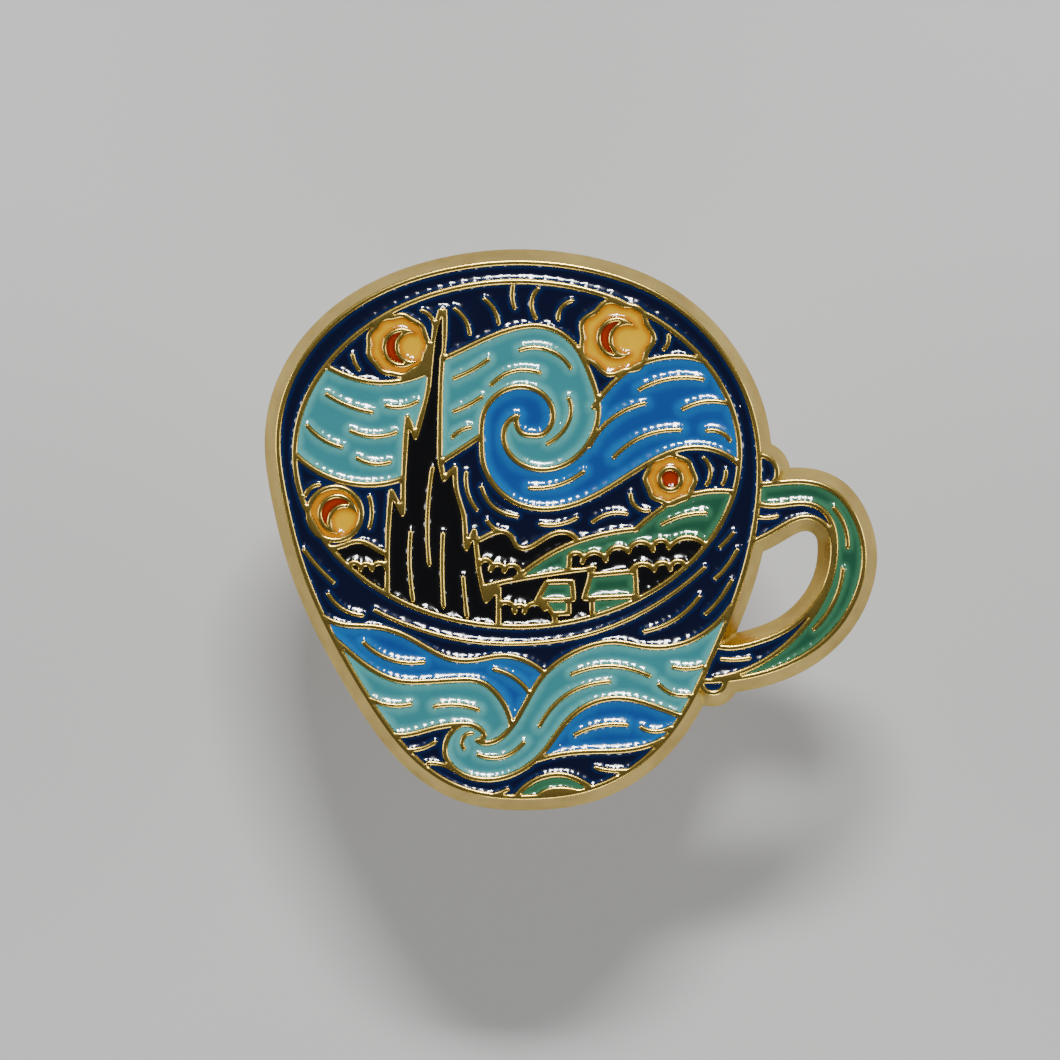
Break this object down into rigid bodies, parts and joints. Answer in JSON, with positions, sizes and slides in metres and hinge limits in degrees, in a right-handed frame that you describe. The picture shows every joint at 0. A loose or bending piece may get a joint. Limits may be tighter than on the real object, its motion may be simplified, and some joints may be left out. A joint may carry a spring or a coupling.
{
  "type": "enamel pin",
  "caption": "Mug-shaped soft enamel pin with a night landscape in raised gold lines, held by two posts and butterfly clutches.",
  "frame": {"origin": "midway between the two posts, on the flat back face of the pin", "axes": "+Z out of the enamelled face, +Y to the mug's rim, +X to the mug's handle"},
  "size_m": [0.0381, 0.0349, 0.0098],
  "materials": {
    "gold_plate": "satin gold plating over die-struck metal",
    "enamel_navy": "glossy soft enamel, dark navy",
    "enamel_teal": "glossy soft enamel, teal",
    "enamel_blue": "glossy soft enamel, mid blue",
    "enamel_yellow": "glossy soft enamel, golden yellow",
    "enamel_orange": "glossy soft enamel, orange-red",
    "enamel_black": "glossy soft enamel, black",
    "enamel_green": "glossy soft enamel, deep green",
    "post_metal": "bright gold plating",
    "solder": "dull solder",
    "clutch_brass": "pressed brass sheet, gold plated",
    "spring_metal": "spring brass strip"
  },
  "bodies": {
    "pin": {"pin_body": "gold_plate", "enamel_black_bushes": "enamel_black", "enamel_black_field": "enamel_black", "enamel_black_hills": "enamel_black", "enamel_black_tree": "enamel_black", "enamel_blue_swirl": "enamel_blue", "enamel_blue_wave_left": "enamel_blue", "enamel_blue_wave_right": "enamel_blue", "enamel_green_handle": "enamel_green", "enamel_green_hill": "enamel_green", "enamel_green_mound": "enamel_green", "enamel_green_roofs": "enamel_green", "enamel_green_walls": "enamel_green", "enamel_navy_handle": "enamel_navy", "enamel_navy_rim": "enamel_navy", "enamel_navy_sky": "enamel_navy", "enamel_navy_water": "enamel_navy", "enamel_orange_crescent_left": "enamel_orange", "enamel_orange_crescent_upper_left": "enamel_orange", "enamel_orange_crescent_upper_right": "enamel_orange", "enamel_orange_dot_right": "enamel_orange", "enamel_teal_sky_left": "enamel_teal", "enamel_teal_swirl": "enamel_teal", "enamel_teal_wave_curl": "enamel_teal", "enamel_teal_wave_left": "enamel_teal", "enamel_yellow_disc_left": "enamel_yellow", "enamel_yellow_disc_right": "enamel_yellow", "enamel_yellow_disc_upper_left": "enamel_yellow", "enamel_yellow_disc_upper_right": "enamel_yellow", "left_post": "post_metal", "left_solder_ring": "solder", "right_post": "post_metal", "right_solder_ring": "solder"},
    "left_clutch": {"left_clutch_plate": "clutch_brass", "left_clutch_cap": "clutch_brass"},
    "left_lower_wing": {"left_wing_lower": "spring_metal"},
    "left_upper_wing": {"left_wing_upper": "spring_metal"},
    "right_clutch": {"right_clutch_plate": "clutch_brass", "right_clutch_cap": "clutch_brass"},
    "right_lower_wing": {"right_wing_lower": "spring_metal"},
    "right_upper_wing": {"right_wing_upper": "spring_metal"}
  },
  "joints": [
    {"name": "left_clutch_slide", "type": "slide", "parent": "pin", "child": "left_clutch", "axis": [0, 0, -1], "range_m": [-0.0019, 0.0085]},
    {"name": "left_lower_wing_squeeze", "type": "hinge", "parent": "left_clutch", "child": "left_lower_wing", "pos_m": [-0.0075, -0.00205, -0.00425], "axis": [1, 0, 0], "range_deg": [0, 12], "stiffness_Nm_per_rad": 0.006, "springref_deg": -8.59},
    {"name": "left_upper_wing_squeeze", "type": "hinge", "parent": "left_clutch", "child": "left_upper_wing", "pos_m": [-0.0075, 0.00205, -0.00425], "axis": [-1, 0, 0], "range_deg": [0, 12], "stiffness_Nm_per_rad": 0.006, "springref_deg": -8.59},
    {"name": "right_clutch_slide", "type": "slide", "parent": "pin", "child": "right_clutch", "axis": [0, 0, -1], "range_m": [-0.0019, 0.0085]},
    {"name": "right_lower_wing_squeeze", "type": "hinge", "parent": "right_clutch", "child": "right_lower_wing", "pos_m": [0.0075, -0.00205, -0.00425], "axis": [1, 0, 0], "range_deg": [0, 12], "stiffness_Nm_per_rad": 0.006, "springref_deg": -8.59},
    {"name": "right_upper_wing_squeeze", "type": "hinge", "parent": "right_clutch", "child": "right_upper_wing", "pos_m": [0.0075, 0.00205, -0.00425], "axis": [-1, 0, 0], "range_deg": [0, 12], "stiffness_Nm_per_rad": 0.006, "springref_deg": -8.59}
  ],
  "couplings": [
    {"joint": "left_upper_wing_squeeze", "follows": "left_lower_wing_squeeze", "ratio": 1},
    {"joint": "right_upper_wing_squeeze", "follows": "right_lower_wing_squeeze", "ratio": 1}
  ]
}
